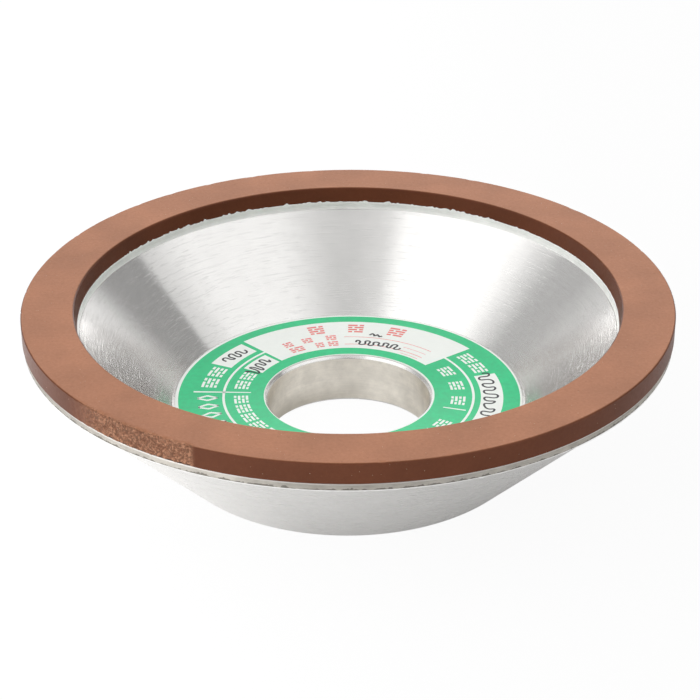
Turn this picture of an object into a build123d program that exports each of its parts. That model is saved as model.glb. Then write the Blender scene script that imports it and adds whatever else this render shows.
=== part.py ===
"""Flaring-cup diamond grinding wheel with 45 degree walls.

A turned aluminium cup carries a moulded resin and diamond ring on its rim, and a round paper
label is stuck to the cup's floor.  Millimetres, +Z up: the origin is the centre of the bore on
the flat back face, and +Z runs along the spindle axis towards the abrasive face.
"""
import os
from math import radians, tan

from build123d import *

# ---------------------------------------------------------------- driving dimensions
wheel_diameter = 125.0  # over the abrasive ring
overall_height = 32.0  # back face to abrasive face
bore_diameter = 32.0  # spindle bore
cone_angle = 45.0  # both cup walls, measured from the axis
floor_thickness = 10.2  # the clamped floor of the cup

rim_width = 10.0  # flat abrasive face
rim_depth = 4.0  # abrasive ring, outer side
rim_draft = 0.5  # how far the ring's inner wall leans in towards its foot
rim_edge_break = 0.25  # worn corner round both edges of the abrasive face
bond_thickness = 0.1  # cured adhesive between ring and body

band_relief = 0.2  # the ring stands this much proud of the body's rim band
band_height = 1.3  # straight rim band above the outer cone
band_shoulder = 0.4  # step from the rim band in to the outer cone
lip_height = 0.9  # centring lip at the inner edge of the ring's seat
lip_width = 1.0
land_height = 1.3  # straight land from the lip's top down to the inner cone

base_edge_radius = 1.2  # rounded edge of the back face
floor_corner_radius = 0.25  # tool nose radius where the inner cone meets the floor
bore_mouth_chamfer = 0.5  # bore edge on the cup side
bore_back_chamfer = 0.5  # bore edge on the back face

label_thickness = 0.12
label_glue_thickness = 0.05
label_floor_gap = 0.5  # label's outer edge to the corner of the floor
label_bore_gap = 0.1  # label's inner edge to the bore's chamfer

# ---------------------------------------------------------------- sizes that follow from them
rim_radius = wheel_diameter / 2
rim_inner_radius = rim_radius - rim_width
bore_radius = bore_diameter / 2
cone_slope = tan(radians(cone_angle))  # radius gained per height

ring_foot_z = overall_height - rim_depth
seat_z = ring_foot_z - bond_thickness
band_radius = rim_radius - band_relief
band_foot_z = seat_z - band_height
cone_top_radius = band_radius - band_shoulder
base_radius = cone_top_radius - band_foot_z * cone_slope

lip_radius = rim_inner_radius - rim_draft
lip_outer_radius = lip_radius + lip_width
lip_top_z = seat_z + lip_height
land_foot_z = lip_top_z - land_height
floor_radius = lip_radius - (land_foot_z - floor_thickness) * cone_slope

label_outer_radius = floor_radius - label_floor_gap
label_inner_radius = bore_radius + bore_mouth_chamfer + label_bore_gap
label_foot_z = floor_thickness + label_glue_thickness

# ---------------------------------------------------------------- turned aluminium body
with BuildPart() as wheel_body:
    with BuildSketch(Plane.XZ):
        with BuildLine():
            Polyline(
                (bore_radius, 0),
                (base_radius, 0),
                (cone_top_radius, band_foot_z),
                (band_radius, band_foot_z),
                (band_radius, seat_z),
                (lip_outer_radius, seat_z),
                (lip_outer_radius, lip_top_z),
                (lip_radius, lip_top_z),
                (lip_radius, land_foot_z),
                (floor_radius, floor_thickness),
                (bore_radius, floor_thickness),
                close=True,
            )
        make_face()
    revolve(axis=Axis.Z)
    back_edges = wheel_body.edges().group_by(Axis.Z)[0].sort_by(SortBy.RADIUS)
    chamfer(back_edges[0], bore_back_chamfer)
    back_edges = wheel_body.edges().group_by(Axis.Z)[0].sort_by(SortBy.RADIUS)
    fillet(back_edges[-1], base_edge_radius)
    floor_edges = wheel_body.edges().filter_by_position(
        Axis.Z, floor_thickness, floor_thickness
    ).sort_by(SortBy.RADIUS)
    chamfer(floor_edges[0], bore_mouth_chamfer)
    floor_edges = wheel_body.edges().filter_by_position(
        Axis.Z, floor_thickness, floor_thickness
    ).sort_by(SortBy.RADIUS)
    fillet(floor_edges[-1], floor_corner_radius)

# ---------------------------------------------------------------- adhesive under the ring
with BuildPart() as ring_bond:
    with BuildSketch(Plane.XZ):
        with BuildLine():
            Polyline(
                (lip_radius, lip_top_z),
                (lip_outer_radius, lip_top_z),
                (lip_outer_radius, seat_z),
                (band_radius, seat_z),
                (band_radius, ring_foot_z),
                (lip_outer_radius + bond_thickness, ring_foot_z),
                (lip_outer_radius + bond_thickness, lip_top_z + bond_thickness),
                (lip_radius, lip_top_z + bond_thickness),
                close=True,
            )
        make_face()
    revolve(axis=Axis.Z)

# ---------------------------------------------------------------- moulded abrasive ring
with BuildPart() as abrasive_ring:
    with BuildSketch(Plane.XZ):
        with BuildLine():
            Polyline(
                (lip_radius, lip_top_z + bond_thickness),
                (lip_outer_radius + bond_thickness, lip_top_z + bond_thickness),
                (lip_outer_radius + bond_thickness, ring_foot_z),
                (rim_radius, ring_foot_z),
                (rim_radius, overall_height),
                (rim_inner_radius, overall_height),
                close=True,
            )
        make_face()
    revolve(axis=Axis.Z)
    chamfer(abrasive_ring.edges().group_by(Axis.Z)[-1], rim_edge_break)

# ---------------------------------------------------------------- label and its glue
with BuildPart() as label_glue:
    with BuildSketch(Plane.XY.offset(floor_thickness)):
        Circle(label_outer_radius)
        Circle(label_inner_radius, mode=Mode.SUBTRACT)
    extrude(amount=label_glue_thickness)

with BuildPart() as paper_label:
    with BuildSketch(Plane.XY.offset(label_foot_z)):
        Circle(label_outer_radius)
        Circle(label_inner_radius, mode=Mode.SUBTRACT)
    extrude(amount=label_thickness)

# ---------------------------------------------------------------- one STEP file per piece
os.makedirs("parts", exist_ok=True)

wheel_body.part.label = "wheel_body"
ring_bond.part.label = "ring_bond"
abrasive_ring.part.label = "abrasive_ring"
label_glue.part.label = "label_glue"
paper_label.part.label = "paper_label"

export_step(wheel_body.part, "parts/wheel_body.step")
export_step(ring_bond.part, "parts/ring_bond.step")
export_step(abrasive_ring.part, "parts/abrasive_ring.step")
export_step(label_glue.part, "parts/label_glue.step")
export_step(paper_label.part, "parts/paper_label.step")
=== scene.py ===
"""A flaring cup diamond wheel: an aluminium cup with a resin-bonded diamond rim and a paper label.

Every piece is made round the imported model, in metres: the wheel's axis is Z, its back face lies on
Z = 0 and its working face looks up. Angles on the wheel run anticlockwise from +X, seen from above.
"""

import functools
import math
import random

import bmesh
import bpy
from mathutils import Euler, Matrix, Vector, noise


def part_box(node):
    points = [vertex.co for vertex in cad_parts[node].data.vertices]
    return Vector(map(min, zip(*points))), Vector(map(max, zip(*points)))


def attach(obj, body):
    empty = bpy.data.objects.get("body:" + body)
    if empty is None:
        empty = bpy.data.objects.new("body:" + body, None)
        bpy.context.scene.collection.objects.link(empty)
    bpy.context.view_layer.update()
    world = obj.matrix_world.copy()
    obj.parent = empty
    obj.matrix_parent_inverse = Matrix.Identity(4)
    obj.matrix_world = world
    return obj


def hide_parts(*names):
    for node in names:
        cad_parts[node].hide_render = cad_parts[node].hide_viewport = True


bl_info = {
    "name": "Diamond Cup Wheel",
    "version": (1, 0, 0),
    "blender": (4, 5, 0),
    "location": "3D View > Sidebar > Cup Wheel",
    "description": "Builds a flaring cup diamond wheel with its label, burrs and studio",
    "category": "Add Mesh",
}

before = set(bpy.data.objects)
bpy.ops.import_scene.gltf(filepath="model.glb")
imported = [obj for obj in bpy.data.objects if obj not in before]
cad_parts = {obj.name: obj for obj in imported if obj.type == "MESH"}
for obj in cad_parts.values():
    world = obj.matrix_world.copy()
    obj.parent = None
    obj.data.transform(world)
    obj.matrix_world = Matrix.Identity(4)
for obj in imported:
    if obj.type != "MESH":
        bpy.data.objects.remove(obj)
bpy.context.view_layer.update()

MM = 0.001
ROOT = "root"
AXIS = Vector((0, 0, 1))
CENTRE = Vector((0, 0, 0))
FULL_TURN = 2 * math.pi
WEDGES = 36
MERGE = 0.0005 * MM


# -------------------- sizes read from the frame

@functools.cache
def circles(node):
    """Every circle of a turned CAD node as (radius, height), rounded to a hundredth of a millimetre."""
    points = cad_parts[node].data.vertices
    return sorted({(round(math.hypot(p.co.x, p.co.y), 5), round(p.co.z, 5)) for p in points})


def radii_at(node, height):
    """The radii of a CAD node's circles at one height, smallest first."""
    return [radius for radius, z in circles(node) if abs(z - height) < 0.006 * MM]


def heights_at(node, radius):
    """The heights of a CAD node's circles of one radius, lowest first."""
    return [z for r, z in circles(node) if abs(r - radius) < 0.006 * MM]


BODY_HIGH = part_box("wheel_body")[1]
RING_LOW, RING_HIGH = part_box("abrasive_ring")
BOND_LOW, BOND_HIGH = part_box("ring_bond")
PAPER_LOW, PAPER_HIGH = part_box("paper_label")
FLOOR_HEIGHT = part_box("label_glue")[0].z


# -------------------- what a user may change

class WheelSizes(bpy.types.PropertyGroup):
    """Sizes of the finish and of the print."""

    turn_steps: bpy.props.IntProperty(
        name="Steps Round",
        description="Segments round the turned metal",
        default=720,
        min=96,
    )
    ring_steps: bpy.props.IntProperty(
        name="Ring Steps",
        description="Segments round the abrasive ring, which carries chips and pits",
        default=1080,
        min=96,
    )
    grain: bpy.props.FloatProperty(
        name="Mesh Grain",
        description="Longest edge across the abrasive ring's faces",
        default=0.34 * MM,
        unit="LENGTH",
    )
    edge_break: bpy.props.FloatProperty(
        name="Edge Break",
        description="Width of the small bevel on the cup's turned edges",
        default=0.07 * MM,
        unit="LENGTH",
    )
    ink: bpy.props.FloatProperty(
        name="Ink Layer",
        description="Thickness of one printed layer",
        default=0.012 * MM,
        unit="LENGTH",
    )
    burr: bpy.props.FloatProperty(
        name="Burr",
        description="Greatest height of the ragged burr over the lip",
        default=0.45 * MM,
        unit="LENGTH",
    )
    pit: bpy.props.FloatProperty(
        name="Pit Depth",
        description="Depth of the pits in the rough stretch of the rim",
        default=0.34 * MM,
        unit="LENGTH",
    )
    grit_count: bpy.props.IntProperty(
        name="Grit Count",
        description="Diamond crystals that show on the rim",
        default=300,
        min=0,
    )


class WheelColours(bpy.types.PropertyGroup):
    """Base colours, as linear values."""

    metal: bpy.props.FloatVectorProperty(
        name="Aluminium",
        description="Turned aluminium of the cup",
        subtype="COLOR",
        default=(0.755, 0.745, 0.73),
    )
    # The skin's dark brown is partly the moulded skin's own colour and partly painted shade on the ring's
    # sides and inner wall.
    skin: bpy.props.FloatVectorProperty(
        name="Moulded Resin",
        description="Smooth brown skin on the ring's moulded sides",
        subtype="COLOR",
        default=(0.12, 0.034, 0.014),
    )
    dressed: bpy.props.FloatVectorProperty(
        name="Dressed Resin",
        description="Paler brown of the ring's dressed working face",
        subtype="COLOR",
        default=(0.38, 0.166, 0.091),
    )
    broken: bpy.props.FloatVectorProperty(
        name="Broken Resin",
        description="Palest brown, where the skin has broken away",
        subtype="COLOR",
        default=(0.35, 0.17, 0.10),
    )
    green: bpy.props.FloatVectorProperty(
        name="Label Green",
        description="Green ink of the label",
        subtype="COLOR",
        default=(0.035, 0.57, 0.245),
    )
    paper: bpy.props.FloatVectorProperty(
        name="Label Paper",
        description="Coated paper of the label",
        subtype="COLOR",
        default=(0.90, 0.93, 0.89),
    )
    red: bpy.props.FloatVectorProperty(
        name="Label Red",
        description="Red ink in the label's panel",
        subtype="COLOR",
        default=(0.80, 0.19, 0.18),
    )


# -------------------- mesh helpers

def placed(name, data):
    """A new object in the scene."""
    thing = bpy.data.objects.new(name, data)
    bpy.context.scene.collection.objects.link(thing)
    return thing


def finished(name, mesh_bm, materials, sharp=math.radians(35)):
    """Turns a bmesh into a piece that rides on the wheel, smooth but for its sharp edges."""
    for face in mesh_bm.faces:
        face.smooth = True
    for edge in mesh_bm.edges:
        edge.smooth = edge.calc_face_angle(0.0) < sharp
    mesh = bpy.data.meshes.new(name)
    mesh_bm.to_mesh(mesh)
    mesh_bm.free()
    for material in materials:
        mesh.materials.append(material)
    piece = placed(name, mesh)
    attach(piece, ROOT)
    return piece


def turned(outline, steps, longest):
    """A closed outline of (radius, height) points, cut into short edges and spun right round.

    One wedge is spun in fine steps and then repeated round the axis, which is far quicker.
    """
    bm = bmesh.new()
    corners = [bm.verts.new((radius, 0, height)) for radius, height in outline]
    for start, end in zip(corners, corners[1:] + corners[:1]):
        bm.edges.new((start, end))
    for edge in list(bm.edges):
        cuts = math.ceil(edge.calc_length() / longest) - 1
        if cuts > 0:
            bmesh.ops.subdivide_edges(bm, edges=[edge], cuts=cuts)
    wedge = FULL_TURN / WEDGES
    spin_copy(bm, wedge, steps // WEDGES, copy=False)
    spin_copy(bm, FULL_TURN - wedge, WEDGES - 1, copy=True)
    bmesh.ops.remove_doubles(bm, verts=bm.verts, dist=MERGE)
    bmesh.ops.recalc_face_normals(bm, faces=bm.faces)
    return bm


def spin_copy(bm, angle, steps, copy):
    """Spins everything in a bmesh round the wheel's axis, as a surface or as copies."""
    geometry = bm.verts[:] + bm.edges[:] + bm.faces[:]
    bmesh.ops.spin(bm, geom=geometry, cent=CENTRE, axis=AXIS, angle=angle, steps=steps, use_duplicate=copy)


def break_edges(bm, width):
    """Bevels every edge of a turned piece where its faces bend by more than 20 degrees."""
    sharp = [edge for edge in bm.edges if edge.calc_face_angle(0.0) > math.radians(20)]
    bmesh.ops.bevel(
        bm,
        geom=sharp,
        offset=width,
        affect="EDGES",
        segments=2,
        profile=0.5,
        material=-1,
        clamp_overlap=True,
    )


def flat_band(inner, outer, low, high):
    """The outline of a flat ring, anticlockwise from its inner foot."""
    return [(inner, low), (outer, low), (outer, high), (inner, high)]


def on_circle(angle, height=0.0):
    """The point of the unit circle round the axis at one angle, lifted to a height."""
    return Vector((math.cos(angle), math.sin(angle), height))


def round_place(point):
    """The angle, radius and height of a point."""
    return math.atan2(point.y, point.x), math.hypot(point.x, point.y), point.z


def within(angle, start, end):
    """How far an angle lies inside the arc from start to end, in radians; negative outside it."""
    middle = (start + end) / 2
    off = (angle - middle + math.pi) % FULL_TURN - math.pi
    return abs(end - start) / 2 - abs(off)


def soft_step(value, low, high):
    """0 below low, 1 above high and a smooth slope between them."""
    share = min(1.0, max(0.0, (value - low) / (high - low)))
    return share * share * (3 - 2 * share)


# -------------------- material helpers

class Nodes:
    """A node tree, with short ways to add and link nodes."""

    def __init__(self, tree):
        self.tree = tree

    def add(self, kind, **settings):
        node = self.tree.nodes.new("ShaderNode" + kind)
        for key, value in settings.items():
            setattr(node, key, value)
        return node

    def feed(self, socket, source):
        """Links a socket to an output, or sets it to a number or vector."""
        if isinstance(source, bpy.types.NodeSocket):
            self.tree.links.new(source, socket)
        else:
            socket.default_value = source

    def fed(self, node, *sources):
        """Feeds a node's sockets in order."""
        for socket, source in zip(node.inputs, sources):
            self.feed(socket, source)
        return node

    def maths(self, operation, *values):
        return self.fed(self.add("Math", operation=operation), *values).outputs[0]

    def vector(self, operation, *values):
        node = self.fed(self.add("VectorMath", operation=operation), *values)
        return node.outputs["Value" if operation == "LENGTH" else "Vector"]

    def parts(self, vector):
        return self.fed(self.add("SeparateXYZ"), vector).outputs

    def joined(self, x, y, z):
        return self.fed(self.add("CombineXYZ"), x, y, z).outputs[0]

    def grainy(self, vector, scale, detail=2.0, roughness=0.5):
        """Noise from about 0.25 to 0.75."""
        node = self.add("TexNoise")
        self.feed(node.inputs["Vector"], vector)
        node.inputs["Scale"].default_value = scale
        node.inputs["Detail"].default_value = detail
        node.inputs["Roughness"].default_value = roughness
        return node.outputs["Fac"]

    def spots(self, vector, scale):
        """Distance from scattered points."""
        node = self.add("TexVoronoi")
        self.feed(node.inputs["Vector"], vector)
        node.inputs["Scale"].default_value = scale
        return node.outputs["Distance"]

    def spread(self, value, low, high, to_low=0.0, to_high=1.0, smooth=False):
        """Carries a value from low and high over to to_low and to_high, and stops there."""
        node = self.add("MapRange", interpolation_type="SMOOTHSTEP" if smooth else "LINEAR")
        return self.fed(node, value, low, high, to_low, to_high).outputs[0]

    def toned(self, grain, low, high):
        """Turns noise into numbers from about low to about high."""
        return self.spread(grain, 0.3, 0.7, low, high)

    def blend(self, share, first, second, kind="MIX"):
        node = self.add("Mix", data_type="RGBA", blend_type=kind)
        self.feed(node.inputs["Factor"], share)
        self.feed(node.inputs[6], (*first, 1) if isinstance(first, (tuple, list)) else first)
        self.feed(node.inputs[7], (*second, 1) if isinstance(second, (tuple, list)) else second)
        return node.outputs[2]


class Finish(Nodes):
    """A material with its principled shader, in the piece's own coordinates."""

    def __init__(self, name, **sockets):
        self.material = bpy.data.materials.new(name)
        self.material.use_nodes = True
        super().__init__(self.material.node_tree)
        self.shader = self.tree.nodes["Principled BSDF"]
        self.place = self.add("TexCoord").outputs["Object"]
        for socket, value in sockets.items():
            self.shader.inputs[socket.replace("_", " ")].default_value = value

    def colour(self, source):
        self.feed(self.shader.inputs["Base Color"], source)

    def tinted(self, colour, tone):
        """Sets the base colour, made lighter and darker by a tone."""
        self.colour(self.blend(1.0, tuple(colour), tone, "MULTIPLY"))

    def rough(self, source):
        self.feed(self.shader.inputs["Roughness"], source)

    def over(self, share, colour):
        """Lays a colour over the base colour so far."""
        so_far = self.shader.inputs["Base Color"].links[0].from_socket
        self.colour(self.blend(share, so_far, colour))

    def bump(self, height, distance, strength=1.0):
        node = self.add("Bump")
        node.inputs["Strength"].default_value = strength
        node.inputs["Distance"].default_value = distance
        self.feed(node.inputs["Height"], height)
        old = self.shader.inputs["Normal"]
        if old.is_linked:
            self.feed(node.inputs["Normal"], old.links[0].from_socket)
        self.feed(old, node.outputs[0])

    def lathe_place(self, around, across):
        """Coordinates that follow the turning: slow round the axis and quick across the cut."""
        x, y, z = self.parts(self.place)[:3]
        flat = self.joined(x, y, 0.0)
        radius = self.vector("LENGTH", flat)
        unit = self.parts(self.vector("NORMALIZE", flat))
        run = self.maths("ADD", radius, z)
        turned_x = self.maths("MULTIPLY", unit[0], around)
        turned_y = self.maths("MULTIPLY", unit[1], around)
        return self.joined(turned_x, turned_y, self.maths("MULTIPLY", run, across))

    def turning_tangent(self):
        """Lays the shader's long gloss across the tool marks, which run round the axis."""
        along = self.vector("CROSS_PRODUCT", (0.0, 0.0, 1.0), self.place)
        self.feed(self.shader.inputs["Tangent"], self.vector("NORMALIZE", along))


SCORE_PITCH, SCORE_DEPTH = 0.45 * MM, 0.012 * MM


def turned_metal(name, colour, roughness, pitch, streak=0.04, stretch=1.0, mottle=0.02, score=0.0, clean=1.0):
    """Lathe-turned aluminium: fine rings at the tool's feed, wider streaks, scores and faint blotches.

    Smeared metal is less clean than a cut face: it scatters light and looks whiter.
    """
    finish = Finish(name, Metallic=clean, Anisotropic=stretch, Anisotropic_Rotation=0.25)
    finish.turning_tangent()
    feed = finish.grainy(finish.lathe_place(2.0, 1 / pitch), 1.0, 3.0, 0.6)
    wide = finish.grainy(finish.lathe_place(13.0, 0.3 / pitch), 1.0, 2.0, 0.6)
    blotch = finish.grainy(finish.place, 260.0, 3.0, 0.6)
    lines = finish.blend(0.5, feed, wide)
    tint = finish.spread(lines, 0.35, 0.65, 1 - streak, 1 + streak * 0.6)
    tint = finish.maths("MULTIPLY", tint, finish.toned(blotch, 1 - mottle, 1 + mottle))
    if score:
        scratch = finish.grainy(finish.lathe_place(8.0, 1 / SCORE_PITCH), 1.0, 2.0, 0.6)
        scratch = finish.spread(scratch, 0.58, 0.66, smooth=True)
        tint = finish.maths("MULTIPLY", tint, finish.spread(scratch, 0.0, 1.0, 1.0, 1 - score))
        finish.bump(scratch, SCORE_DEPTH)
    finish.tinted(colour, tint)
    finish.rough(finish.toned(lines, roughness * 0.85, roughness * 1.2))
    finish.bump(feed, pitch * 0.012)
    finish.bump(wide, pitch * 0.04)
    return finish


# -------------------- the materials

def resin_material(skin, dressed, broken):
    """Resin bond: a smooth moulded skin, darkened partly by painted shade, a paler dressed face and a broken
    stretch full of specks.
    """
    finish = Finish("resin_bond", IOR=1.48, Specular_IOR_Level=0.15)
    open_face = finish.add("Attribute", attribute_name="dressed").outputs["Fac"]
    torn = finish.add("Attribute", attribute_name="broken").outputs["Fac"]
    cloud = finish.grainy(finish.place, 90.0, 3.0, 0.55)
    grain = finish.grainy(finish.place, 1500.0, 3.0, 0.7)
    pale = finish.spread(finish.spots(finish.place, 900.0), 0.0, 0.16, 1.0, 0.0, smooth=True)
    shifted = finish.vector("ADD", finish.place, (0.01, 0.02, 0.03))
    dark = finish.spread(finish.spots(shifted, 620.0), 0.0, 0.15, 1.0, 0.0, smooth=True)
    tone = finish.toned(cloud, 0.9, 1.1)
    tone = finish.maths("MULTIPLY", tone, finish.toned(grain, 0.93, 1.07))
    base = finish.blend(open_face, tuple(skin), tuple(dressed))
    base = finish.blend(torn, base, tuple(broken))
    base = finish.blend(1.0, base, tone, "MULTIPLY")
    speckle = finish.spread(open_face, 0.0, 1.0, 0.04, 0.14)
    base = finish.blend(finish.maths("MULTIPLY", pale, speckle), base, (0.66, 0.45, 0.32))
    base = finish.blend(finish.maths("MULTIPLY", dark, 0.3), base, (0.12, 0.05, 0.03))
    crumbs = finish.spread(finish.grainy(finish.place, 2600.0, 2.0, 0.6), 0.40, 0.60, 0.5, 1.35)
    crumbs = finish.spread(torn, 0.0, 1.0, 1.0, crumbs)
    finish.colour(finish.blend(1.0, base, crumbs, "MULTIPLY"))
    gloss = finish.spread(open_face, 0.0, 1.0, 0.36, 0.6)
    gloss = finish.maths("ADD", gloss, finish.maths("MULTIPLY", torn, 0.25))
    finish.rough(finish.maths("ADD", gloss, finish.toned(grain, 0.04, -0.04)))
    finish.bump(grain, 0.02 * MM, 0.6)
    return finish.material


def bond_material():
    """The dark film of glue that shows as a line at the ring's foot."""
    finish = Finish("bond_film", IOR=1.5)
    grain = finish.grainy(finish.place, 700.0, 3.0, 0.6)
    finish.colour(finish.blend(grain, (0.10, 0.055, 0.035), (0.20, 0.12, 0.08)))
    finish.rough(finish.toned(grain, 0.45, 0.62))
    finish.bump(grain, 0.04 * MM)
    return finish.material


def glue_material():
    """Dried clear adhesive under the label."""
    finish = Finish("dried_adhesive", IOR=1.47)
    cloud = finish.grainy(finish.place, 420.0, 3.0, 0.6)
    finish.colour(finish.blend(cloud, (0.62, 0.60, 0.50), (0.80, 0.78, 0.70)))
    finish.rough(finish.toned(cloud, 0.25, 0.4))
    finish.bump(cloud, 0.02 * MM)
    return finish.material


def paper_material(colour):
    """Coated label paper, faintly fibrous."""
    finish = Finish("label_paper", IOR=1.45)
    fibre = finish.grainy(finish.vector("MULTIPLY", finish.place, (1.0, 3.0, 1.0)), 1300.0, 3.0, 0.7)
    cloud = finish.grainy(finish.place, 120.0, 2.0)
    tone = finish.maths("MULTIPLY", finish.toned(fibre, 0.97, 1.02),
                        finish.toned(cloud, 0.98, 1.01))
    finish.tinted(colour, tone)
    finish.rough(finish.toned(fibre, 0.5, 0.62))
    finish.bump(fibre, 0.006 * MM)
    return finish.material


def ink_material(name, colour, gloss=0.42, patchy=0.08):
    """Printed ink with slightly uneven coverage."""
    finish = Finish(name, IOR=1.5)
    grain = finish.grainy(finish.place, 900.0, 3.0, 0.65)
    cloud = finish.grainy(finish.place, 75.0, 2.0)
    tone = finish.maths("MULTIPLY", finish.toned(grain, 1 - patchy, 1 + patchy),
                        finish.toned(cloud, 1 - patchy * 0.6, 1 + patchy * 0.6))
    finish.tinted(colour, tone)
    finish.rough(finish.toned(grain, gloss * 0.9, gloss * 1.15))
    finish.bump(grain, 0.004 * MM)
    return finish.material


def crystal_material():
    """Amber diamond grit."""
    finish = Finish("diamond_crystal", IOR=1.9, Roughness=0.3)
    cloud = finish.grainy(finish.place, 2600.0, 2.0)
    finish.colour(finish.blend(cloud, (0.30, 0.17, 0.10), (0.58, 0.40, 0.26)))
    finish.bump(cloud, 0.01 * MM)
    return finish.material


# -------------------- the turned cup

class WHEEL_OT_cup_body(bpy.types.Operator):
    """Turns the aluminium cup, with its land, band, bore and seat"""

    bl_idname = "wheel.cup_body"
    bl_label = "Aluminium Cup"

    def execute(self, context):
        sizes = context.scene.wheel_sizes
        bm = turned(cup_outline(), sizes.turn_steps, 1.6 * MM)
        break_edges(bm, sizes.edge_break)
        paint_cup_zones(bm)
        cup = finished("cup_body", bm, cup_materials(context.scene.wheel_colours.metal),
                       sharp=math.radians(50))
        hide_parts("wheel_body")
        return {"FINISHED"}


LAND_BLEND = 0.6 * MM  # how far polishing has rounded the land into the inner wall


def rounded(corner, before, after, reach, steps=8):
    """A corner drawn as a smooth curve; before and after point from it along its two sides."""
    points = []
    for step in range(steps + 1):
        share = step / steps
        near, far = reach * (1 - share) ** 2, reach * share ** 2
        points.append([c + near * b + far * a for c, b, a in zip(corner, before, after)])
    return points


def cup_outline():
    """The cup's section, anticlockwise from the bore's back edge, from the CAD node's circles."""
    node = "wheel_body"
    bore = circles(node)[0][0]
    band = max(radius for radius, z in circles(node))
    back, mouth = radii_at(node, 0.0), radii_at(node, FLOOR_HEIGHT)
    band_foot, seat = heights_at(node, band)[0], heights_at(node, band)[-1]
    lip_inner, lip_outer = radii_at(node, BODY_HIGH.z)
    land_foot = heights_at(node, lip_inner)[0]
    bore_low, bore_high = heights_at(node, bore)[0], heights_at(node, bore)[-1]
    corner = 1.0 * MM
    base_edge = [c for c in circles(node) if c[0] > back[-1] and c[1] < corner]
    floor_edge = [c for c in circles(node)
                  if 0 < c[0] - mouth[-1] < corner and 0 < c[1] - FLOOR_HEIGHT < corner]
    outline = [(bore, bore_low), (back[0], 0.0), (back[-1], 0.0)]
    outline += base_edge
    outline += [(radii_at(node, band_foot)[0], band_foot), (band, band_foot), (band, seat)]
    outline += [(lip_outer, seat), (lip_outer, BODY_HIGH.z), (lip_inner, BODY_HIGH.z)]
    outline += rounded((lip_inner, land_foot), (0, 1), (-math.sqrt(0.5), -math.sqrt(0.5)), LAND_BLEND)
    outline += sorted(floor_edge, reverse=True)
    outline += [(mouth[-1], FLOOR_HEIGHT), (mouth[0], FLOOR_HEIGHT), (bore, bore_high)]
    return outline


INNER_WALL, OUTER_WALL, RIM_BAND, BORE_WALL, FLAT_FACE, LIP_LAND = range(6)


def paint_cup_zones(bm):
    """Gives each face the finish of its zone: walls, band, bore, flat faces and the lip's land."""
    node, hair = "wheel_body", 0.03 * MM
    bore = circles(node)[0][0]
    band = max(radius for radius, z in circles(node))
    band_foot = heights_at(node, band)[0]
    lip_inner = radii_at(node, BODY_HIGH.z)[0]
    land_foot = heights_at(node, lip_inner)[0]
    for face in bm.faces:
        angle, radius, height = round_place(face.calc_center_median())
        if radius < bore + hair:
            face.material_index = BORE_WALL
        elif height > band_foot - hair and radius > 0.9 * band:
            face.material_index = RIM_BAND
        elif height > land_foot - LAND_BLEND / 4:
            face.material_index = LIP_LAND
        elif abs(face.normal.z) > 0.95:
            face.material_index = FLAT_FACE
        elif face.normal.z > -0.05:
            face.material_index = INNER_WALL
        else:
            face.material_index = OUTER_WALL


def cup_materials(metal):
    """One material for each zone of the cup, in the zones' order."""
    inner = turned_metal("turned_inner_wall", metal, 0.19, 0.16 * MM, streak=0.03, score=0.02)
    outer = turned_metal("turned_outer_wall", metal, 0.28, 0.2 * MM, streak=0.03)
    band = band_metal()
    bore = bored_metal()
    flat = turned_metal("faced_flat", metal, 0.28, 0.25 * MM, streak=0.05)
    land = turned_metal("lip_land", (0.96, 0.95, 0.93), 0.5, 0.1 * MM, streak=0.08, mottle=0.08, clean=0.3)
    return [finish.material for finish in (inner, outer, band, bore, flat, land)]


def bored_metal():
    """The bore: greyer, mottled metal, with painted shade low on its left side."""
    finish = turned_metal("bored_wall", (0.87, 0.83, 0.755), 0.36, 0.3 * MM, streak=0.08, mottle=0.12)
    aside, ahead, height = finish.parts(finish.place)[:3]
    # Painted shade: the bore darkens towards its foot on the left, standing for the shadowed floor it
    # reflects.
    low = finish.spread(height, 0.6 * MM, 5.5 * MM, 1.0, 0.0, smooth=True)
    left = finish.spread(aside, -11 * MM, 7 * MM, 0.62, 0.0, smooth=True)
    finish.over(finish.maths("MULTIPLY", low, left), (0.36, 0.33, 0.28))
    return finish


def band_metal():
    """The rim band: a painted highlight along its upper edge, a duller middle and a painted shadow line along
    its ragged, nicked foot.
    """
    band = max(radius for radius, z in circles("wheel_body"))
    foot, seat = heights_at("wheel_body", band)[0], heights_at("wheel_body", band)[-1]
    finish = turned_metal("turned_band", (0.60, 0.565, 0.51), 0.42, 0.12 * MM, streak=0.14, mottle=0.16)
    height = finish.parts(finish.place)[2]
    # Painted highlight: a paler strip along the band's upper edge, where the light falls.
    painted_highlight = finish.spread(height, seat - 0.4 * MM, seat - 0.15 * MM, smooth=True)
    finish.over(painted_highlight, (0.86, 0.83, 0.79))
    # Painted shadow: a dark, ragged, nicked line along the band's foot, over a faint bumped groove.
    ragged = finish.grainy(finish.lathe_place(45.0, 700.0), 1.0, 3.0, 0.7)
    line = finish.spread(ragged, 0.35, 0.7, foot - 0.1 * MM, foot + 0.5 * MM)
    below = finish.spread(finish.maths("SUBTRACT", height, line), 0.0, 0.1 * MM, 1.0, 0.0)
    finish.over(finish.maths("MULTIPLY", below, 0.75), (0.16, 0.15, 0.125))
    finish.bump(below, -0.02 * MM)
    return finish


# -------------------- the abrasive ring

class WHEEL_OT_abrasive_ring(bpy.types.Operator):
    """Moulds the resin and diamond ring, with chipped edges and its rough stretch"""

    bl_idname = "wheel.abrasive_ring"
    bl_label = "Abrasive Ring"

    def execute(self, context):
        sizes = context.scene.wheel_sizes
        colours = context.scene.wheel_colours
        bm = turned(ring_outline(), sizes.ring_steps, sizes.grain)
        wear_ring(bm, sizes.pit)
        resin = resin_material(colours.skin, colours.dressed, colours.broken)
        ring = finished("abrasive_rim", bm, [resin], sharp=math.radians(28))
        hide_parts("abrasive_ring")
        return {"FINISHED"}


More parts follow.
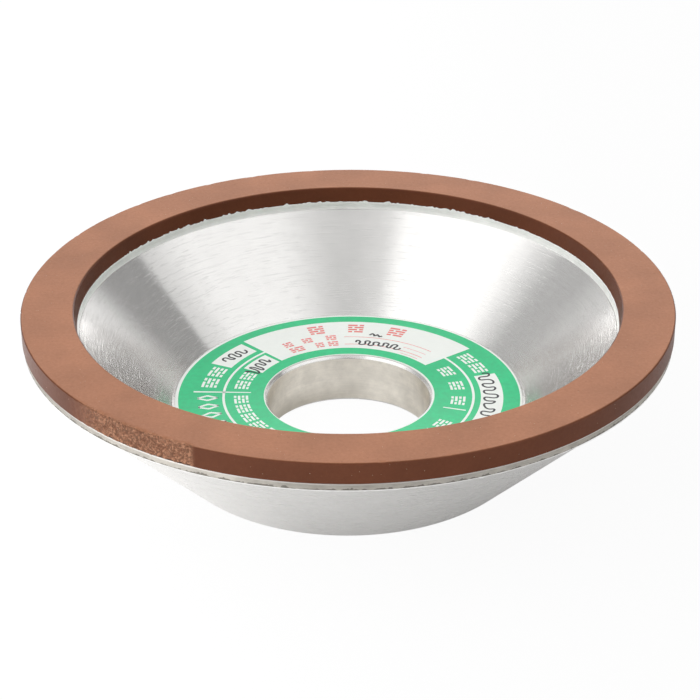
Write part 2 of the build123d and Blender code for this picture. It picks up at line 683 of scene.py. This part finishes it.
def ring_outline():
    """The ring's section, anticlockwise from the step over the lip, from the CAD node's circles."""
    node = "abrasive_ring"
    foot, top = RING_LOW.z, RING_HIGH.z
    step, outer = radii_at(node, foot)
    top_inner, top_outer = radii_at(node, top)
    shoulder = heights_at(node, outer)[-1]
    inner_foot = circles(node)[0]
    return [(step, foot), (outer, foot), (outer, shoulder), (top_outer, top), (top_inner, top),
            (radii_at(node, shoulder)[0], shoulder), inner_foot, (step, inner_foot[1])]


ROUGH_START, ROUGH_END = math.radians(-143), math.radians(-114.5)
OUTER_SIDE_PALING = 0.08  # how much of the dressed face's paler brown the outer side takes, so the inner wall stays darkest: partly a trued side, partly painted shade

# How far the ring's surface strays from its true shape, and how many waves there are to a metre.
FINE_RIPPLE, FINE_WAVES = 0.006 * MM, 2200
WIDE_RIPPLE, WIDE_WAVES = 0.012 * MM, 260
CHIP_DEPTH, CHIP_WAVES, CHIP_LEAST = 0.3 * MM, 700, 0.32
LUMP_WAVES, CRUMB_WAVES = 1300, 3300


def wear_ring(bm, pit):
    """Ripples the ring's faces a little, chips its edges and pits the rough stretch of its side."""
    dressed = bm.verts.layers.float.new("dressed")
    broken = bm.verts.layers.float.new("broken")
    bm.normal_update()
    top, outer = RING_HIGH.z, RING_HIGH.x
    for vert in bm.verts:
        angle, radius, height = round_place(vert.co)
        on_side = soft_step(radius, outer - 0.5 * MM, outer - 0.1 * MM)
        near_edge = soft_step(height, top - 0.6 * MM, top - 0.1 * MM) * on_side
        move = FINE_RIPPLE * noise.noise(vert.co * FINE_WAVES)
        move += WIDE_RIPPLE * noise.noise(vert.co * WIDE_WAVES)
        chip = max(0.0, noise.noise(vert.co * CHIP_WAVES + Vector((3, 1, 4))) - CHIP_LEAST)
        move -= CHIP_DEPTH * chip * near_edge
        # Partly painted shade: the inner wall keeps the darkest brown, and the outer side takes a little of
        # the dressed face's paler one.
        vert[dressed] = max(OUTER_SIDE_PALING * on_side, soft_step(height, top - 0.05 * MM, top - 0.01 * MM))
        rough = soft_step(within(angle, ROUGH_START, ROUGH_END), 0.0, math.radians(0.8))
        rough *= soft_step(radius, outer - 0.8 * MM, outer - 0.2 * MM)
        if rough > 0:
            rough *= soft_step(angle, ROUGH_START, ROUGH_START + math.radians(12))
            lumps = 0.6 * noise.noise(vert.co * LUMP_WAVES) + noise.noise(vert.co * CRUMB_WAVES)
            move -= pit * rough * max(0.0, 0.25 + lumps)
            vert[broken] = rough * (0.35 + 0.65 * soft_step(lumps, 0.5, -0.3))
        vert.co += vert.normal * move


class WHEEL_OT_bond_line(bpy.types.Operator):
    """Lays the glue film between the ring and its seat"""

    bl_idname = "wheel.bond_line"
    bl_label = "Ring Bond"

    def execute(self, context):
        node = "ring_bond"
        lip, outer = radii_at(node, BOND_LOW.z)
        inner, cap = radii_at(node, BOND_HIGH.z)
        outline = [(lip, BOND_LOW.z), (outer, BOND_LOW.z), (outer, RING_LOW.z), (cap, RING_LOW.z),
                   (cap, BOND_HIGH.z), (inner, BOND_HIGH.z), (inner, BODY_HIGH.z), (lip, BODY_HIGH.z)]
        bm = turned(outline, context.scene.wheel_sizes.turn_steps, 2 * MM)
        film = finished("bond_film", bm, [bond_material()])
        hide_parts(node)
        return {"FINISHED"}


# -------------------- burrs left by turning

# Waves in the burrs' edges, for each radian round the wheel.
RAG_WAVES, TEAR_WAVES = 52, 170
WIDE_NICKS, FINE_NICKS = 60, 190
NICK_DEPTH = 0.16 * MM
BACK_START, BACK_END = math.radians(52), math.radians(150)


class WHEEL_OT_burrs(bpy.types.Operator):
    """Adds the ragged aluminium burr over the lip and the nicked one under the band"""

    bl_idname = "wheel.burrs"
    bl_label = "Turning Burrs"

    def execute(self, context):
        sizes = context.scene.wheel_sizes
        metal = torn_metal()
        finished("lip_burr", lip_burr(sizes), [metal])
        finished("band_burr", band_burr(sizes), [metal])
        return {"FINISHED"}


def torn_metal():
    """Smeared, torn aluminium, whiter than the turned faces."""
    finish = turned_metal("torn_metal", (0.97, 0.96, 0.95), 0.6, 0.1 * MM,
                          stretch=0.0, mottle=0.06, clean=0.1)
    return finish.material


def lip_burr(sizes):
    """A thin skin of metal smeared up the ring's inside, tallest at the back of the wheel."""
    inner = radii_at("wheel_body", BODY_HIGH.z)[0]
    foot, top, skin = BODY_HIGH.z - 0.35 * MM, BODY_HIGH.z + 0.05 * MM, 0.06 * MM
    outline = [(inner + 0.02 * MM, foot), (inner + 0.03 * MM, top), (inner - skin, top - 0.05 * MM),
               (inner - skin * 0.5, foot)]
    bm = turned(outline, sizes.turn_steps, 1 * MM)
    for vert in bm.verts:
        angle, radius, height = round_place(vert.co)
        if height < top - 0.1 * MM:
            continue
        ragged = noise.noise(on_circle(angle) * RAG_WAVES)
        torn = noise.noise(on_circle(angle, 2) * TEAR_WAVES)
        rise = max(0.0, 0.15 + 0.9 * ragged + 1.3 * torn)
        facing = 0.3 + 0.7 * soft_step(within(angle, BACK_START, BACK_END), -0.3, 0.2)
        vert.co.z += sizes.burr * rise * facing * 0.8
        vert.co += on_circle(angle) * ring_lean(vert.co.z)
    return bm


def ring_lean(height):
    """How far out the ring's drafted inside has moved at a height above its foot."""
    node = "abrasive_ring"
    foot_radius, foot_height = circles(node)[0]
    shoulder = heights_at(node, RING_HIGH.x)[-1]
    slope = (radii_at(node, shoulder)[0] - foot_radius) / (shoulder - foot_height)
    return max(0.0, height - foot_height) * slope


def band_burr(sizes):
    """The nicked wire edge that turning left along the band's foot."""
    band = max(radius for radius, z in circles("wheel_body"))
    foot = heights_at("wheel_body", band)[0]
    width, drop = 0.14 * MM, 0.12 * MM
    outline = [(band - width, foot + 0.03 * MM), (band - width, foot - drop * 0.4),
               (band - 0.01 * MM, foot - drop), (band + 0.02 * MM, foot + 0.03 * MM)]
    bm = turned(outline, sizes.turn_steps, 1 * MM)
    for vert in bm.verts:
        angle, radius, height = round_place(vert.co)
        if height > foot:
            continue
        spot = on_circle(angle, 5)
        nick = noise.noise(spot * WIDE_NICKS) + 0.6 * noise.noise(spot * FINE_NICKS)
        vert.co.z -= NICK_DEPTH * max(0.0, nick)
    return bm


# -------------------- diamond grit

class WHEEL_OT_diamond_grit(bpy.types.Operator):
    """Scatters half-buried diamond crystals over the ring's working faces"""

    bl_idname = "wheel.diamond_grit"
    bl_label = "Diamond Grit"

    def execute(self, context):
        count = context.scene.wheel_sizes.grit_count
        chance = random.Random(7)
        bm = bmesh.new()
        inner, outer = radii_at("abrasive_ring", RING_HIGH.z)
        for number in range(count):
            angle = chance.uniform(0, FULL_TURN)
            if chance.random() < 0.75:
                spot = Vector((chance.uniform(inner, outer), 0, RING_HIGH.z))
            else:
                spot = Vector((RING_HIGH.x, 0, chance.uniform(RING_LOW.z, RING_HIGH.z - 0.3 * MM)))
            place = Matrix.Rotation(angle, 4, "Z") @ Matrix.Translation(spot)
            tilt = Euler([chance.uniform(0, math.pi) for turn in range(3)]).to_matrix().to_4x4()
            size = chance.uniform(0.035, 0.075) * MM
            bmesh.ops.create_icosphere(bm, subdivisions=1, radius=size, matrix=place @ tilt)
        finished("diamond_grit", bm, [crystal_material()], sharp=math.radians(20))
        return {"FINISHED"}


# -------------------- the label

LABEL_STEPS = 720
UNEVEN_CUT = 0.035 * MM  # how far the paper's cut edge strays


def sector(bm, inner, outer, start, end, level, thick):
    """A thin closed slab between two radii (mm) and two angles (degrees), its foot at level."""
    section = flat_band(inner * MM, outer * MM, level, level + thick)
    corners = [bm.verts.new((radius, 0, height)) for radius, height in section]
    face = bm.faces.new(corners)
    bmesh.ops.rotate(bm, cent=CENTRE, matrix=Matrix.Rotation(math.radians(start), 3, "Z"), verts=corners)
    bmesh.ops.spin(
        bm,
        geom=[face] + list(face.edges) + corners,
        cent=CENTRE,
        axis=AXIS,
        angle=math.radians(end - start),
        steps=max(1, math.ceil(abs(end - start) / 1.5)),
    )


# A hatched block's bars, as shares of its row's height and of its width.
BAR_HEIGHT, BAR_ENDS, HALF_GAP = 0.62, (0.66, 0.34), 0.07


def mark_block(bm, inner, outer, start, end, level, thick, rows=4):
    """A plain hatch of bars, like bricks: it stands for one printed sign and spells nothing."""
    high = (outer - inner) / rows
    gap = (end - start) * HALF_GAP
    for row in range(rows):
        foot = inner + row * high
        top = foot + high * BAR_HEIGHT
        middle = start + (end - start) * BAR_ENDS[row % 2]
        sector(bm, foot, top, start, middle - gap, level, thick)
        sector(bm, foot, top, middle + gap, end, level, thick)


class WHEEL_OT_paper_label(bpy.types.Operator):
    """Cuts the round paper label, with a slightly uneven edge"""

    bl_idname = "wheel.paper_label"
    bl_label = "Paper Label"

    def execute(self, context):
        node = "paper_label"
        inner, outer = radii_at(node, PAPER_HIGH.z)
        bm = turned(flat_band(inner, outer, PAPER_LOW.z, PAPER_HIGH.z), LABEL_STEPS, 1.2 * MM)
        for vert in bm.verts:
            angle, radius, height = round_place(vert.co)
            edge = soft_step(abs(radius - (inner + outer) / 2), (outer - inner) * 0.44, (outer - inner) / 2)
            shift = UNEVEN_CUT * edge * noise.noise(on_circle(angle, radius * 99) * 9)
            vert.co -= on_circle(angle) * abs(shift)
        paper = paper_material(context.scene.wheel_colours.paper)
        label = finished("label_sheet", bm, [paper])
        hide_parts(node)
        return {"FINISHED"}


# Places on the label: inner and outer radius in mm, start and end angle in degrees.
GREEN_FIELD = (16.85, 33.7)
PRINT_SHIFT = Vector((0.12 * MM, 0, 0))
PANEL = (19.5, 31.2, 37, 134)
LEFT_BOXES = ((26.1, 30.7, 136, 155), (19.4, 23.7, 136, 153))
RIGHT_BOX = (26.1, 30.5, -34, 15.5)
MIDDLE_ARCS = ((24.4, 24.9, 134, 296), (24.4, 24.9, -54, 37))
RADIAL_LINES = ((19.3, 30.7, 177.4, 178.3), (19.3, 23.8, -17.2, -16.3), (25.4, 30.7, 236, 236.9))


class WHEEL_OT_label_print(bpy.types.Operator):
    """Prints the green field, the white panel, boxes and rules"""

    bl_idname = "wheel.label_print"
    bl_label = "Label Print"

    def execute(self, context):
        ink = context.scene.wheel_sizes.ink
        colours = context.scene.wheel_colours
        inner, outer = GREEN_FIELD
        field = flat_band(inner * MM, outer * MM, PAPER_HIGH.z, PAPER_HIGH.z + ink)
        green = turned(field, LABEL_STEPS, 2 * MM)
        bmesh.ops.translate(green, vec=PRINT_SHIFT, verts=green.verts)
        finished("green_print", green, [ink_material("green_ink", colours.green)])
        bm = bmesh.new()
        for box in (PANEL, *LEFT_BOXES, RIGHT_BOX, *MIDDLE_ARCS, *RADIAL_LINES):
            sector(bm, *box, PAPER_HIGH.z + ink, ink)
        bmesh.ops.recalc_face_normals(bm, faces=bm.faces)
        finished("white_panels", bm, [paper_material(colours.paper)])
        return {"FINISHED"}


# Hatched blocks on the green field, as inner and outer radius in mm, start and end angle; large
# marks have their middle angle.
GREEN_FIELD_BLOCKS = (
    (26.4, 29.8, 157, 164.5), (26.4, 29.8, 166.5, 174),
    (20.0, 23.1, 156, 163.5), (20.0, 23.1, 165.5, 174),
    *((19.8, 22.9, start, start + 8) for start in (181.5, 191.5, 201.5, 211.5, 221.5)),
    (26.7, 30.0, 18, 25.5), (26.7, 30.0, 27, 34.5),
    (20.3, 23.4, 20, 29), (20.3, 23.4, 4, 12.5), (20.3, 23.4, -12, -3.5),
    (20.3, 23.4, -38, -30), (20.3, 23.4, -50, -42),
    *((26.4, 29.8, start, start + 7.5) for start in range(243, 300, 10)),
)
LARGE_MARKS = tuple((25.8, 29.8, middle) for middle in range(183, 212, 7))
PANEL_HEADINGS = ((26.4, 30.2, 65.5, 72.5), (26.4, 30.2, 83.5, 90), (26.4, 30.2, 100.5, 107))
PANEL_BLOCKS = (
    (23.3, 25.5, 96, 101), (23.3, 25.5, 108, 113), (23.3, 25.5, 118.5, 123),
    (20.6, 22.8, 95.5, 101), (20.6, 22.8, 103.5, 108), (20.6, 22.8, 115, 123),
)
RED_RULES = ((24.3, 24.45, 46, 92), (22.6, 22.7, 46, 60), (21.05, 21.2, 45, 92), (20.1, 20.2, 46, 58))


class WHEEL_OT_label_marks(bpy.types.Operator):
    """Prints blocks of plain hatching in white and red where a label carries its wording"""

    bl_idname = "wheel.label_marks"
    bl_label = "Label Marks"

    def execute(self, context):
        ink = context.scene.wheel_sizes.ink
        colours = context.scene.wheel_colours
        white = bmesh.new()
        level = PAPER_HIGH.z + ink
        for block in GREEN_FIELD_BLOCKS:
            mark_block(white, *block, level, ink)
        for inner, outer, angle in LARGE_MARKS:
            large_mark(white, inner, outer, angle, level, ink)
        bmesh.ops.recalc_face_normals(white, faces=white.faces)
        finished("white_marks", white, [paper_material(colours.paper)])
        red = bmesh.new()
        level = PAPER_HIGH.z + 2 * ink
        for block in PANEL_HEADINGS:
            mark_block(red, *block, level, ink)
        for block in PANEL_BLOCKS:
            mark_block(red, *block, level, ink, rows=3)
        for rule in RED_RULES:
            sector(red, *rule, level, ink)
        bmesh.ops.recalc_face_normals(red, faces=red.faces)
        finished("red_marks", red, [ink_material("red_ink", colours.red)])
        return {"FINISHED"}


LOZENGE_SIDE, LOZENGE_STROKE = 1.9, 0.55  # half its width in degrees, and its line in mm


def large_mark(bm, inner, outer, angle, level, thick):
    """A tall outlined lozenge of four strokes."""
    middle = (inner + outer) / 2
    for side in (-LOZENGE_SIDE, LOZENGE_SIDE):
        slanted_stroke(bm, inner, middle, angle, side, True, level, thick)
        slanted_stroke(bm, middle, outer, angle, side, False, level, thick)


def slanted_stroke(bm, low, high, angle, side, leaving, level, thick):
    """One stroke that leaves the lozenge's middle line for a side, or comes back to it."""
    parts = 6
    for part in range(parts):
        share = (part + 0.5) / parts
        off = side * (share if leaving else 1 - share)
        foot = low + (high - low) * part / parts
        wide = math.degrees(LOZENGE_STROKE / foot) / 2
        sector(bm, foot, foot + (high - low) / parts, angle + off - wide, angle + off + wide, level, thick)


PEN_WIDTH, PEN_FLATNESS, PEN_MERGE = 0.42 * MM, 0.08, 0.00001 * MM


class WHEEL_OT_pen_marks(bpy.types.Operator):
    """Draws loose pen scribbles in the label's boxes"""

    bl_idname = "wheel.pen_marks"
    bl_label = "Pen Marks"

    def execute(self, context):
        ink = context.scene.wheel_sizes.ink
        level = PAPER_HIGH.z + 3 * ink
        lines = bpy.data.curves.new("pen_lines", "CURVE")
        lines.dimensions = "3D"
        lines.bevel_depth = PEN_WIDTH / 2
        lines.bevel_resolution = 2
        lines.use_fill_caps = True
        for radius, height, start, end, waves, lean in SCRIBBLES:
            scribble(lines, radius, height, start, end, waves, lean, level)
        flat = placed("pen_lines", lines)
        bpy.context.view_layer.update()
        mesh = bpy.data.meshes.new_from_object(flat)
        bm = bmesh.new()
        bm.from_mesh(mesh)
        bpy.data.objects.remove(flat)
        bpy.data.meshes.remove(mesh)
        lowered, raised = (Matrix.Translation((0, 0, height)) for height in (-level, level))
        squash = raised @ Matrix.Scale(PEN_FLATNESS, 4, AXIS) @ lowered
        bmesh.ops.transform(bm, matrix=squash, verts=bm.verts)
        bmesh.ops.remove_doubles(bm, verts=bm.verts, dist=PEN_MERGE)
        bmesh.ops.recalc_face_normals(bm, faces=bm.faces)
        finished("pen_marks", bm, [ink_material("pen_ink", (0.03, 0.03, 0.035), 0.35)])
        return {"FINISHED"}


# Scribbles as middle radius and height in mm, start and end angle, number of waves and lean.
SCRIBBLES = (
    (28.3, 2.9, 151, 139, 3, 0.5),
    (21.6, 3.0, 156, 139, 4, 0.4),
    (21.9, 2.4, 86, 61, 5, 0.55),
    (25.6, 1.0, 80, 74, 2, 0.4),
    (28.0, 3.2, 17, -30, 8, 0.45),
)


def scribble(lines, radius, height, start, end, waves, lean, level):
    """Adds one loose looping pen line along an arc of the label."""
    count = waves * 10
    spline = lines.splines.new("NURBS")
    spline.points.add(count - 1)
    for step, point in enumerate(spline.points):
        share = step / (count - 1)
        phase = share * waves * FULL_TURN
        wander = noise.noise(Vector((share * waves * 1.7, radius, 0)))
        off = height / 2 * (0.75 * math.sin(phase) + 0.9 * wander)
        sway = lean / waves * (0.3 * math.sin(phase * 2 + radius) + 0.8 * wander)
        angle = math.radians(start + (end - start) * (share + sway))
        spot = (radius + off) * MM
        point.co = (spot * math.cos(angle), spot * math.sin(angle), level, 1)
    spline.order_u = 4
    spline.use_endpoint_u = True


class WHEEL_OT_label_glue(bpy.types.Operator):
    """Spreads the film of dried adhesive under the label"""

    bl_idname = "wheel.label_glue"
    bl_label = "Label Glue"

    def execute(self, context):
        node = "label_glue"
        low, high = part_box(node)
        inner, outer = radii_at(node, high.z)
        bm = turned(flat_band(inner, outer, low.z, high.z), LABEL_STEPS, 2 * MM)
        film = finished("glue_film", bm, [glue_material()])
        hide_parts(node)
        return {"FINISHED"}


# -------------------- studio

CAMERA_PLACE = Vector((0.0, -0.35073, 0.20571))
CAMERA_TILT, CAMERA_PAN, CAMERA_ROLL = 27.88, 0.054, -0.271
CAMERA_LENS, SENSOR_WIDTH = 104.53, 36.0


class WHEEL_OT_studio(bpy.types.Operator):
    """Sets the pale floor, the soft overhead light and the camera"""

    bl_idname = "wheel.studio"
    bl_label = "Studio"

    def execute(self, context):
        lay_floor()
        light_studio()
        place_camera()
        context.scene.view_settings.view_transform = "Standard"
        return {"FINISHED"}


FLOOR_GREY, WHITE = (0.72, 0.72, 0.72, 1.0), (1.0, 1.0, 1.0, 1.0)
FLOOR_DROP, FLOOR_SIZE = 0.05 * MM, 3.0
FLOOR_GLOW = 0.93
UNDERLIGHT, UNDERLIGHT_SPAN = 0.47, (-0.045, 0.062)


def lay_floor():
    """A wide pale floor just under the wheel's back face."""
    bm = bmesh.new()
    drop = Matrix.Translation((0, 0, -FLOOR_DROP))
    bmesh.ops.create_grid(bm, x_segments=8, y_segments=8, size=FLOOR_SIZE, matrix=drop)
    mesh = bpy.data.meshes.new("studio_floor")
    bm.to_mesh(mesh)
    bm.free()
    mesh.materials.append(floor_material())
    placed("studio_floor", mesh)


def floor_material():
    """Pale matt light table, brighter at the left, so that only a faint shadow shows on it."""
    finish = Finish("pale_sweep", Roughness=0.9, Base_Color=FLOOR_GREY, Emission_Color=WHITE)
    aside = finish.parts(finish.place)[0]
    lamp = finish.spread(aside, *UNDERLIGHT_SPAN, UNDERLIGHT, 0.0)
    finish.feed(finish.shader.inputs["Emission Strength"], lamp)
    glow = finish.add("Emission")
    glow.inputs["Strength"].default_value = 1.0
    mix = finish.add("MixShader")
    seen = finish.add("LightPath").outputs["Is Camera Ray"]
    finish.feed(mix.inputs[0], finish.maths("MULTIPLY", seen, FLOOR_GLOW))
    finish.feed(mix.inputs[1], finish.shader.outputs[0])
    finish.feed(mix.inputs[2], glow.outputs[0])
    finish.feed(finish.tree.nodes["Material Output"].inputs["Surface"], mix.outputs[0])
    return finish.material


# The tent's ceiling is a fan of light and dark panels that spreads from a point low at the back.
# Each step ends at a new brightness: start and end in degrees to the right of straight ahead.
FAN_FIRST = 3.3
FAN_STEPS = (
    (-101, -82, 0.86), (-84, -68, 0.59), (-61, -41, 1.5), (-20, -11, 0.94), (-11, 0, 0.91),
    (8, 24, 1.24), (42, 56, 0.93), (56, 58, 0.40), (69, 86, 1.16), (86, 98, 4.0),
)
FAN_BACK, FAN_SIDE = 0.88, 0.1
FRONT_WALL, SIDE_LEFT_LOW, SIDE_RIGHT_LOW = 0.34, 2.2, 0.12
CAMERA_OPENING = 0.4

# Edges of the front wall and of the opening, as slopes: how far aside or ahead for each unit of height.
FRONT_EDGE = -1.25
OPENING_SIDE, OPENING_BACK = 0.2, -0.66


def light_studio():
    """A white tent: a fan of panels overhead, low walls at the sides, and white to the camera."""
    world = bpy.data.worlds.new("studio_tent")
    bpy.context.scene.world = world
    world.use_nodes = True
    tent = Nodes(world.node_tree)
    x, y, z = tent.parts(tent.add("TexCoord").outputs["Generated"])[:3]
    height = tent.maths("MAXIMUM", z, 0.001)
    across, ahead = tent.maths("DIVIDE", x, height), tent.maths("DIVIDE", y, height)
    light = tent.maths("MULTIPLY", fan_light(tent, x, y), camera_opening(tent, across, ahead))
    before = tent.spread(ahead, FRONT_EDGE - 0.5, FRONT_EDGE, 1.0, 0.0, smooth=True)
    light = tent.spread(before, 0.0, 1.0, light, FRONT_WALL)
    light = low_sides(tent, x, y, z, light)
    seen = tent.add("LightPath").outputs["Is Camera Ray"]
    light = tent.spread(seen, 0.0, 1.0, light, 1.0)
    background = tent.tree.nodes["Background"]
    tent.feed(background.inputs["Color"], tent.joined(light, light, light))


def fan_light(tent, x, y):
    """The panels' brightness, from the bearing of each direction round the fan's low back point."""
    aside = tent.maths("SUBTRACT", x, tent.spread(x, -0.3, 0.3, FAN_SIDE, -FAN_SIDE))
    bearing = tent.maths("ARCTAN2", aside, tent.maths("SUBTRACT", FAN_BACK, y))
    bearing = tent.maths("DEGREES", bearing)
    light = FAN_FIRST
    for start, end, level in FAN_STEPS:
        light = tent.spread(tent.spread(bearing, start, end, smooth=True), 0.0, 1.0, light, level)
    return light


def camera_opening(tent, across, ahead):
    """A dim patch of the tent over the camera, which shows only in the cup's tool marks."""
    aside = tent.spread(tent.maths("ABSOLUTE", across), OPENING_SIDE * 0.5, OPENING_SIDE * 1.5, 1.0, 0.0)
    below = tent.spread(ahead, OPENING_BACK - 0.1, OPENING_BACK, 1.0, 0.0)
    return tent.spread(tent.maths("MULTIPLY", aside, below), 0.0, 1.0, 1.0, CAMERA_OPENING)


def low_sides(tent, x, y, z, light):
    """Low walls beside the wheel: a lamp at the left, shade at the right."""
    low = tent.maths("MULTIPLY", tent.spread(z, 0.3, 0.45, 1.0, 0.0), tent.spread(y, 0.15, 0.35, 1.0, 0.0))
    left = tent.maths("MULTIPLY", low, tent.spread(x, -0.65, -0.5, 1.0, 0.0))
    right = tent.maths("MULTIPLY", low, tent.spread(x, 0.5, 0.65))
    light = tent.spread(left, 0.0, 1.0, light, SIDE_LEFT_LOW)
    return tent.spread(right, 0.0, 1.0, light, SIDE_RIGHT_LOW)


def place_camera():
    """Looks down into the cup from in front."""
    data = bpy.data.cameras.new("camera")
    data.sensor_width = SENSOR_WIDTH
    data.lens = CAMERA_LENS
    data.clip_start, data.clip_end = 0.01, 20.0
    camera = placed("camera", data)
    turn = Matrix.Rotation(math.radians(-CAMERA_PAN), 4, "Z")
    tilt = Matrix.Rotation(math.radians(90 - CAMERA_TILT), 4, "X")
    roll = Matrix.Rotation(math.radians(CAMERA_ROLL), 4, "Z")
    camera.matrix_world = Matrix.Translation(CAMERA_PLACE) @ turn @ tilt @ roll
    bpy.context.scene.camera = camera


# -------------------- panel and run

OPERATORS = (
    WHEEL_OT_studio,
    WHEEL_OT_cup_body,
    WHEEL_OT_abrasive_ring,
    WHEEL_OT_bond_line,
    WHEEL_OT_burrs,
    WHEEL_OT_diamond_grit,
    WHEEL_OT_label_glue,
    WHEEL_OT_paper_label,
    WHEEL_OT_label_print,
    WHEEL_OT_label_marks,
    WHEEL_OT_pen_marks,
)


class WHEEL_PT_panel(bpy.types.Panel):
    """Lists the wheel's sizes, colours and pieces"""

    bl_idname = "WHEEL_PT_panel"
    bl_label = "Diamond Cup Wheel"
    bl_space_type = "VIEW_3D"
    bl_region_type = "UI"
    bl_category = "Cup Wheel"

    def draw(self, context):
        for group in (context.scene.wheel_sizes, context.scene.wheel_colours):
            column = self.layout.column()
            for key in group.__annotations__:
                column.prop(group, key)
        for operator in OPERATORS:
            self.layout.operator(operator.bl_idname)


CLASSES = (WheelSizes, WheelColours, *OPERATORS, WHEEL_PT_panel)


def register():
    for cls in CLASSES:
        bpy.utils.register_class(cls)
    bpy.types.Scene.wheel_sizes = bpy.props.PointerProperty(type=WheelSizes)
    bpy.types.Scene.wheel_colours = bpy.props.PointerProperty(type=WheelColours)


def unregister():
    del bpy.types.Scene.wheel_colours
    del bpy.types.Scene.wheel_sizes
    for cls in reversed(CLASSES):
        bpy.utils.unregister_class(cls)


def main():
    register()
    for operator in OPERATORS:
        family, name = operator.bl_idname.split(".")
        getattr(getattr(bpy.ops, family), name)()


if __name__ == "__main__":
    main()
